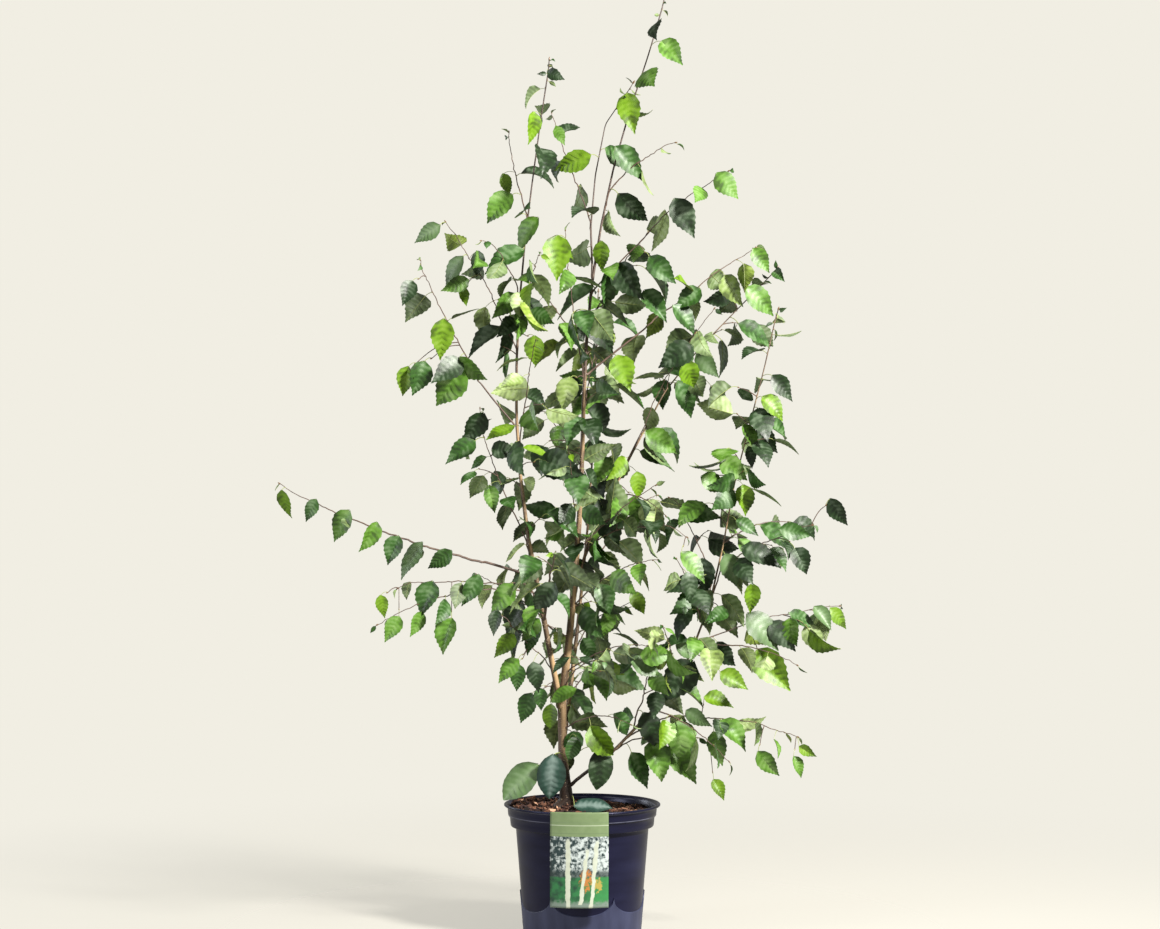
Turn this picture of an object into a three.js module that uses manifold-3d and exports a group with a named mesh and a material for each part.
// A young multi-stemmed birch, standing in a round nursery pot with a picture card hooked on its rim.
// Millimetres, +Z up. The origin is the middle of the pot's flat underside, the front is at -Y.
import * as THREE from "three";
import { mergeVertices } from "three/addons/utils/BufferGeometryUtils.js";
import Module from "manifold-3d";

// ---- Driving dimensions -------------------------------------------------------------------------

const GAP = 0.3; // air between a piece and the one that cuts it
const ROUND = 26; // flat sides round the pot and the soil

const POT = {
  height: 230, // to the top of the lip
  underside: 104, // radius of the flat the pot stands on
  foot: 108.5, // radius of the upright band at the foot
  footHeight: 46,
  neck: 120, // outer radius right under the collar
  collarFrom: 190, // height of the collar's lower edge
  collarStep: 208, // height of the step in the middle of the collar
  collarLow: 132.6, // outer radius of the collar's lower band
  collarHigh: 136, // outer radius of the collar's upper band
  lip: 141, // outer radius of the lip
  lipThick: 3.2,
  wall: 2.4,
  floor: 3,
};

const SOIL = {
  level: 218, // height of the soil round the stems
  edge: 213, // height of the soil at the wall
  flat: 45, // radius of the level part in the middle
};

const CARD = {
  width: 105,
  thick: 0.9,
  from: 64, // height of the lower edge
  middle: -6, // how far the card's middle lies beside the pot's
  hookWidth: 46,
  hookDrop: 9, // how far the hook reaches down inside the rim
};

const ROOT_FLARE = { reach: 55, widening: 0.55 };
const STEM_RING = 105; // distance between the rings of a stem's skin
const BOUGH_RING = 60;
const STEM_SIDES = 6;
const BOUGH_SIDES = 6;
const MASS_SIDES = 8;
const MASS_BANDS = 7;
const MASS_ROUGH = 0.16; // how uneven a leaf mass is, as a share of its size
const SLIVER = 0.2; // a corner that stands out less than this is left out of a cut mass

// Stems: the height where each leaves the stem it grows on, the places that it passes through,
// and its radius at the foot and at the tip.
const STEMS = [
  {
    name: "stem_centre",
    through: [
      [-25, 0, 196],
      [-38, 2, 390],
      [-24, 6, 520],
      [-5, 12, 745],
      [14, 18, 1140],
      [62, 24, 1400],
      [127, 30, 1606],
      [151, 32, 1690],
    ],
    foot: 10,
    tip: 1.2,
  },
  {
    name: "stem_left",
    on: "stem_centre",
    from: 400,
    through: [
      [-53, -14, 476],
      [-70, -24, 572],
      [-100, -32, 730],
      [-118, -38, 930],
      [-110, -42, 1160],
      [-82, -44, 1402],
      [-58, -45, 1562],
    ],
    foot: 6,
    tip: 1.2,
  },
  {
    name: "stem_right",
    on: "stem_centre",
    from: 256,
    through: [
      [47, -8, 316],
      [142, -20, 418],
      [205, -26, 519],
      [246, -30, 664],
      [274, -30, 812],
      [320, -24, 985],
      [351, -16, 1118],
    ],
    foot: 3.4,
    tip: 1.1,
  },
  {
    name: "stem_leaning",
    on: "stem_centre",
    from: 596,
    through: [
      [13, 30, 704],
      [86, 60, 850],
      [167, 84, 998],
      [261, 104, 1101],
      [360, 120, 1202],
    ],
    foot: 3.2,
    tip: 1,
  },
  {
    name: "stem_second_leader",
    on: "stem_centre",
    from: 1176,
    through: [
      [16, 28, 1290],
      [28, 36, 1392],
      [50, 42, 1486],
      [72, 46, 1528],
      [92, 46, 1534],
    ],
    foot: 2.2,
    tip: 0.9,
  },
  {
    name: "stem_back",
    on: "stem_centre",
    from: 322,
    through: [
      [-22, 52, 430],
      [-2, 104, 600],
      [16, 146, 800],
      [24, 180, 1000],
      [30, 200, 1165],
    ],
    foot: 5.4,
    tip: 1.1,
  },
];

// Leafy shoots. Each leaves its stem at the height `from` and ends at `reach` from there; `bow` is
// how far its middle stands off the straight line. The first `bare` of its length is a bough of its
// own. The rest carries leaves, as a mass `wide` across the shoot and `high` up and down it (half
// sizes) that hangs `hang` below the shoot.
const SHOOTS = [
  // to the left, as seen from the front
  shoot("long_left", "stem_left", 640, [-465, -58, 163], [0, 0, -8], 0.2, 30, 34, 32),
  shoot("low_left", "stem_left", 632, [-258, -26, -18], [0, 0, 14], 0, 32, 48, 44),
  shoot("outer_left", "stem_left", 905, [-176, -86, 300], [-28, 0, 6], 0.3, 52, 50, 16),
  shoot("upper_left", "stem_left", 1046, [-138, 32, 236], [-2, 0, 6], 0.26, 38, 40, 14),
  shoot("top_left", "stem_left", 1290, [-38, 22, 156], [-8, 0, 0], 0, 26, 28, 10),
  shoot("inner_left", "stem_left", 1142, [-72, -66, 102], [0, 0, 8], 0, 40, 44, 12),
  shoot("mid_left", "stem_left", 700, [-96, 52, 250], [-22, 0, 0], 0, 54, 56, 14),
  shoot("foot_left", "stem_left", 446, [-88, -40, 110], [-12, 0, 0], 0, 50, 64, 16),
  shoot("thin_left", "stem_second_leader", 1284, [-76, 34, 208], [-4, 0, 0], 0, 22, 24, 8),

  // to the right
  shoot("top_right", "stem_centre", 1332, [132, -28, 92], [0, 0, 10], 0, 30, 38, 22),
  shoot("arching_right", "stem_centre", 1150, [256, -88, 212], [8, 0, 26], 0.42, 34, 42, 26),
  shoot("inner_right", "stem_centre", 1096, [140, 70, 190], [0, 0, 8], 0.34, 40, 48, 22),
  shoot("high_right", "stem_centre", 1000, [325, 48, 238], [0, 0, 8], 0.36, 36, 40, 24),
  shoot("parallel_right", "stem_leaning", 800, [186, -66, 326], [-4, 0, 12], 0.34, 38, 38, 16),
  shoot("side_right", "stem_right", 652, [176, -50, 82], [0, 0, 6], 0, 38, 34, 20),
  shoot("far_right", "stem_right", 520, [272, 56, 56], [0, 0, 12], 0.24, 42, 52, 36),
  shoot("low_right", "stem_right", 396, [268, -62, -46], [0, 0, 14], 0, 38, 44, 36),
  shoot("foot_right", "stem_right", 340, [170, 44, -14], [0, 0, 14], 0, 46, 44, 30),
  shoot("fan_right", "stem_right", 396, [12, -88, 132], [-8, 0, 0], 0, 60, 54, 10),
  shoot("between_right", "stem_right", 620, [-82, 62, 168], [0, 0, 8], 0, 48, 52, 14),
  shoot("low_middle", "stem_centre", 520, [136, 44, 62], [0, 0, 8], 0, 48, 50, 18),
  shoot("middle_right", "stem_leaning", 690, [196, -64, 14], [0, 0, 12], 0, 54, 54, 22),

  // round the middle of the crown, to the front and to the back
  shoot("front_column", "stem_centre", 690, [-18, -132, 190], [0, -8, 0], 0, 62, 66, 14),
  shoot("front_upper", "stem_centre", 1000, [-36, -92, 266], [-6, -8, 0], 0, 50, 54, 14),
  shoot("front_low", "stem_centre", 440, [74, -262, 60], [0, 0, 16], 0, 40, 40, 26),
  shoot("front_mid", "stem_left", 560, [24, -286, 128], [0, 0, 12], 0.34, 40, 42, 26),
  shoot("front_high", "stem_left", 862, [36, -214, 196], [0, 0, 10], 0, 38, 42, 20),
  shoot("back_column", "stem_centre", 905, [36, 96, 180], [0, 0, 8], 0, 54, 56, 12),
  shoot("back_left", "stem_back", 500, [-196, 122, 132], [0, 0, 12], 0.32, 40, 44, 24),
  shoot("back_right", "stem_back", 640, [150, 176, 140], [0, 0, 12], 0.3, 40, 44, 24),
  shoot("back_far", "stem_back", 800, [-104, 206, 150], [0, 0, 12], 0, 38, 42, 22),
  shoot("back_low", "stem_back", 420, [84, 250, 34], [0, 0, 16], 0, 40, 42, 26),
];

// Masses that sit on a stem, cut round it: the heights between which they lie on it, how far they
// stand to its side, and their half sizes.
const CLUSTERS = [
  cluster("leader_top", "stem_centre", 1545, 1692, [20, 0, -4], 30),
  cluster("second_leader_top", "stem_second_leader", 1420, 1533, [26, -8, -20], 36),
  cluster("left_top", "stem_left", 1396, 1568, [4, 6, 0], 36),
  cluster("right_top", "stem_right", 936, 1124, [12, 4, 0], 38),
  cluster("right_middle", "stem_right", 744, 926, [8, -6, 0], 52),
  cluster("leaning_top", "stem_leaning", 984, 1200, [4, 0, -14], 38),
  cluster("back_top", "stem_back", 960, 1176, [0, 10, 0], 46),
  { ...cluster("foot", "stem_centre", 262, 300, [-58, -14, 8], 30), along: [-112, -34, 10] },
];

function shoot(name, on, from, reach, bow, bare, wide, high, hang) {
  return { name, on, from, reach, bow, bare, wide, high, hang };
}

function cluster(name, on, from, to, beside, half) {
  return { name, on, from, to, beside, half };
}

// ---- Materials ----------------------------------------------------------------------------------

const finish = (color, roughness) =>
  new THREE.MeshStandardMaterial({ color, roughness, metalness: 0 });
const BARK = finish(0x6a4e36, 0.7);
const TWIG = finish(0x6b564e, 0.65);
const LEAF = finish(0x4a7d35, 0.6);
const POT_PLASTIC = finish(0x24222e, 0.38);
const SOIL_MIX = finish(0x4a352c, 0.95);
const CARD_PRINT = finish(0xa4b197, 0.4);

// ---- Solids -------------------------------------------------------------------------------------

const wasm = await Module();
wasm.setup();

// A geometry with its shared corners merged, as a solid that can be cut.
function solid(geometry) {
  const bare = geometry.clone();
  bare.deleteAttribute("normal");
  bare.deleteAttribute("uv");
  const merged = mergeVertices(bare, 1e-3);
  return new wasm.Manifold(
    new wasm.Mesh({
      numProp: 3,
      vertProperties: new Float32Array(merged.attributes.position.array),
      triVerts: new Uint32Array(merged.index.array),
    }),
  );
}

// The largest piece of a solid, so that a crumb cut loose is dropped.
const largest = (cut) => cut.decompose().sort((a, b) => b.volume() - a.volume())[0];

const plant = new THREE.Group();

function addGeometry(name, geometry, material) {
  const mesh = new THREE.Mesh(geometry, material);
  mesh.name = name;
  plant.add(mesh);
}

function addSolid(name, made, material) {
  const { vertProperties, triVerts } = made.getMesh();
  const geometry = new THREE.BufferGeometry();
  geometry.setAttribute("position", new THREE.BufferAttribute(vertProperties, 3));
  geometry.setIndex(new THREE.BufferAttribute(triVerts, 1));
  geometry.computeVertexNormals();
  addGeometry(name, geometry, material);
}

// ---- Pot, soil and card -------------------------------------------------------------------------

// A closed profile of [radius, height] points, turned about the upright axis.
function turned(profile) {
  const points = profile.map(([radius, height]) => new THREE.Vector2(radius, height));
  return new THREE.LatheGeometry(points, ROUND).rotateX(Math.PI / 2);
}

const inner = {
  floor: POT.underside - 1.4,
  foot: POT.foot - POT.wall,
  neck: POT.neck - POT.wall,
  collarLow: POT.collarLow - POT.wall,
  collarHigh: POT.collarHigh - POT.wall,
};

const pot = turned([
  [0, 0],
  [POT.underside, 0],
  [POT.foot, 5],
  [POT.foot, POT.footHeight],
  [POT.neck, POT.collarFrom - 2],
  [POT.collarLow - 1, POT.collarFrom],
  [POT.collarLow, POT.collarStep],
  [POT.collarHigh, POT.collarStep + 1],
  [POT.collarHigh + 0.6, POT.height - POT.lipThick - 1],
  [POT.lip, POT.height - POT.lipThick],
  [POT.lip, POT.height - 0.8],
  [POT.lip - 1, POT.height],
  [inner.collarHigh, POT.height - 0.8],
  [inner.collarHigh, POT.collarStep + 2],
  [inner.collarLow, POT.collarStep],
  [inner.collarLow - 1, POT.collarFrom + POT.wall],
  [inner.neck, POT.collarFrom],
  [inner.foot, POT.footHeight],
  [inner.floor, POT.floor],
  [0, POT.floor],
]);
addGeometry("pot", pot, POT_PLASTIC);

const soil = turned([
  [0, POT.floor + GAP],
  [inner.floor - 2 * GAP, POT.floor + GAP],
  [inner.foot - 2 * GAP, POT.footHeight],
  [inner.neck - 2 * GAP, POT.collarFrom + 2 * GAP],
  [inner.collarLow - 1 - 2 * GAP, POT.collarFrom + POT.wall + 2 * GAP],
  [inner.collarLow - 2 * GAP, POT.collarStep + GAP],
  [inner.collarHigh - 2 * GAP, POT.collarStep + 2 + 2 * GAP],
  [inner.collarHigh - 2 * GAP, SOIL.edge],
  [SOIL.flat, SOIL.level],
  [0, SOIL.level],
]);
addGeometry("soil", soil, SOIL_MIX);

// A plate that curves round the pot between two radii, `width` wide, from one height to another.
function curvedPlate(innerRadius, outerRadius, width, from, to) {
  const half = width / 2 / outerRadius;
  const front = -Math.PI / 2 + CARD.middle / outerRadius;
  const outline = new THREE.Shape();
  outline.absarc(0, 0, outerRadius, front - half, front + half, false);
  outline.absarc(0, 0, innerRadius, front + half, front - half, true);
  outline.closePath();
  const options = { depth: to - from, bevelEnabled: false, curveSegments: 4 };
  return solid(new THREE.ExtrudeGeometry(outline, options).translate(0, 0, from));
}

const cardInside = POT.lip + 0.6;
const cardOutside = cardInside + CARD.thick;
const flatOfWall = inner.collarHigh * Math.cos(Math.PI / ROUND); // where a flat side is nearest
const hookInside = flatOfWall - GAP - CARD.thick;
const hookUnder = POT.height + 0.6;
const hookTop = hookUnder + CARD.thick;
const card = curvedPlate(cardInside, cardOutside, CARD.width, CARD.from, hookTop)
  .add(curvedPlate(hookInside, cardOutside, CARD.hookWidth, hookUnder, hookTop))
  .add(
    curvedPlate(
      hookInside,
      hookInside + CARD.thick,
      CARD.hookWidth,
      hookTop - CARD.hookDrop,
      hookTop,
    ),
  );
addSolid("label_card", card, CARD_PRINT);

// ---- Growing limbs along curves -----------------------------------------------------------------

const UP = new THREE.Vector3(0, 0, 1);
const SIDEWAYS = new THREE.Vector3(1, 0, 0);
const vector = ([x, y, z]) => new THREE.Vector3(x, y, z);

// Bends a unit shape, upright on Y from -1 to 1, along the stretch of a curve from share `start` to
// share `end`. place(share, across, over, lift) gives how far each corner stands off the curve.
function bend(unit, curve, start, end, place) {
  const position = unit.attributes.position;
  const chord = curve.getPointAt(end).sub(curve.getPointAt(start)).normalize();
  const reference = Math.abs(chord.z) > 0.9 ? SIDEWAYS : UP;
  for (let i = 0; i < position.count; i += 1) {
    const along = (position.getY(i) + 1) / 2;
    const share = THREE.MathUtils.clamp(start + (end - start) * along, 0, 1);
    const tangent = curve.getTangentAt(share);
    const side = new THREE.Vector3().crossVectors(tangent, reference).normalize();
    const over = new THREE.Vector3().crossVectors(side, tangent);
    const offset = place(along, position.getX(i), position.getZ(i));
    const point = curve
      .getPointAt(share)
      .addScaledVector(side, offset.side)
      .addScaledVector(over, offset.over)
      .addScaledVector(UP, -offset.hang);
    position.setXYZ(i, point.x, point.y, point.z);
  }
  return solid(unit);
}

// A tapering limb on the first `end` of a curve. radiusAt(share) is its radius, `fatter` is added.
function limb(curve, end, sides, ring, radiusAt, fatter) {
  const rings = Math.max(3, Math.round((curve.getLength() * end) / ring));
  const unit = new THREE.CylinderGeometry(1, 1, 2, sides, rings);
  const made = bend(unit, curve, 0, end, (along, x, z) => {
    const radius = radiusAt(along * end) + fatter;
    return { side: x * radius, over: z * radius, hang: 0 };
  });
  return made.volume() < 0 ? solid(turnedInsideOut(unit)) : made;
}

function turnedInsideOut(geometry) {
  const index = geometry.index.array;
  for (let i = 0; i < index.length; i += 3) {
    [index[i], index[i + 1]] = [index[i + 1], index[i]];
  }
  return geometry;
}

// An uneven closed mass round the stretch of a curve, blunt at its foot and drawn out at its tip.
function mass(curve, start, end, wide, high, hang, seed, fatter) {
  const unit = new THREE.SphereGeometry(1, MASS_SIDES, MASS_BANDS);
  const made = bend(unit, curve, start, end, (along, x, z) => {
    const round = Math.atan2(z, x);
    const lump =
      1 +
      MASS_ROUGH * Math.sin(2 * round + seed) * Math.cos(9 * along + 2 * seed) +
      MASS_ROUGH * Math.sin(3 * round + 2.3 * seed + 14 * along);
    const blunt = 1.12 - 0.3 * along;
    return {
      side: x * (wide * lump * blunt + fatter),
      over: z * (high * lump * blunt + fatter),
      hang: hang * Math.sin(Math.PI * Math.min(1, 0.15 + 0.85 * along)) ** 0.7,
    };
  });
  return made.volume() < 0 ? solid(turnedInsideOut(unit)) : made;
}

// The share of a curve's length at which it first reaches a height.
function shareAtHeight(curve, height) {
  const steps = 400;
  for (let i = 0; i <= steps; i += 1) {
    if (curve.getPointAt(i / steps).z >= height) return i / steps;
  }
  return 1;
}

// ---- Stems --------------------------------------------------------------------------------------

const stems = new Map();
const wood = []; // every limb a little fatter, to cut what comes after it

for (const stem of STEMS) {
  const parent = stems.get(stem.on);
  const root = parent
    ? [parent.curve.getPointAt(shareAtHeight(parent.curve, stem.from))]
    : [];
  const curve = new THREE.CatmullRomCurve3([...root, ...stem.through.map(vector)]);
  const length = curve.getLength();
  const radiusAt = (share) => {
    const taper = stem.tip + (stem.foot - stem.tip) * (1 - share) ** 1.8;
    const overSoil = share * length - (SOIL.level - stem.through[0][2]);
    const flare = parent ? 0 : Math.max(0, 1 - Math.max(0, overSoil) / ROOT_FLARE.reach);
    return taper * (1 + ROOT_FLARE.widening * flare ** 2);
  };
  let made = limb(curve, 1, STEM_SIDES, STEM_RING, radiusAt, 0);
  if (parent) {
    made = made.subtract(parent.clearance);
  } else {
    made = made.trimByPlane([0, 0, 1], SOIL.level + GAP);
  }
  const clearance = limb(curve, 1, STEM_SIDES, STEM_RING, radiusAt, GAP);
  stems.set(stem.name, { curve, radiusAt, clearance });
  wood.push(clearance);
  addSolid(stem.name, largest(made), BARK);
}

// ---- Boughs and leaf masses ---------------------------------------------------------------------

const clouds = []; // every mass a little fatter, to cut the masses after it

// Cuts a mass round all wood and round the masses before it.
function addMass(name, made, clearance) {
  let cut = made;
  for (const limbSolid of wood) cut = cut.subtract(limbSolid);
  for (const cloud of clouds) cut = cut.subtract(cloud);
  clouds.push(clearance);
  addSolid(name, largest(cut).simplify(SLIVER), LEAF);
}

const grown = SHOOTS.map((row) => {
  const stem = stems.get(row.on);
  const share = shareAtHeight(stem.curve, row.from);
  const root = stem.curve.getPointAt(share);
  const reach = vector(row.reach);
  const middle = root.clone().addScaledVector(reach, 0.5).addScaledVector(vector(row.bow), 2);
  const curve = new THREE.QuadraticBezierCurve3(root, middle, root.clone().add(reach));
  return { ...row, curve, stem, stemRadius: stem.radiusAt(share) };
});

// A bough leaves its stem at just over half the stem's thickness and tapers to a twig.
for (const row of grown.filter((each) => each.bare > 0)) {
  const foot = Math.min(0.62 * row.stemRadius, 3.4);
  const radiusAt = (share) => Math.max(0.9, foot * (1 - 0.75 * share));
  const made = limb(row.curve, row.bare, BOUGH_SIDES, BOUGH_RING, radiusAt, 0);
  const clearance = limb(row.curve, row.bare, BOUGH_SIDES, BOUGH_RING, radiusAt, GAP);
  let cut = made;
  for (const limbSolid of wood) cut = cut.subtract(limbSolid);
  wood.push(clearance);
  addSolid(`bough_${row.name}`, largest(cut), TWIG);
}

grown.forEach((row, index) => {
  const start = row.bare > 0 ? row.bare + 1 / row.curve.getLength() : 0;
  const build = (fatter) =>
    mass(row.curve, start, 1, row.wide, row.high, row.hang, index * 1.7, fatter);
  addMass(`leaves_${row.name}`, build(0), build(2 * GAP));
});

CLUSTERS.forEach((row, index) => {
  const stem = stems.get(row.on).curve;
  const low = stem.getPointAt(shareAtHeight(stem, row.from));
  const high = row.along
    ? low.clone().add(vector(row.along))
    : stem.getPointAt(shareAtHeight(stem, row.to));
  const middle = low.clone().lerp(high, 0.5).add(vector(row.beside));
  const curve = new THREE.QuadraticBezierCurve3(low, middle, high);
  const build = (fatter) =>
    mass(curve, 0, 1, row.half, row.half, 0, 3 + index * 2.1, fatter);
  addMass(`leaves_${row.name}`, build(0), build(2 * GAP));
});

export default plant;
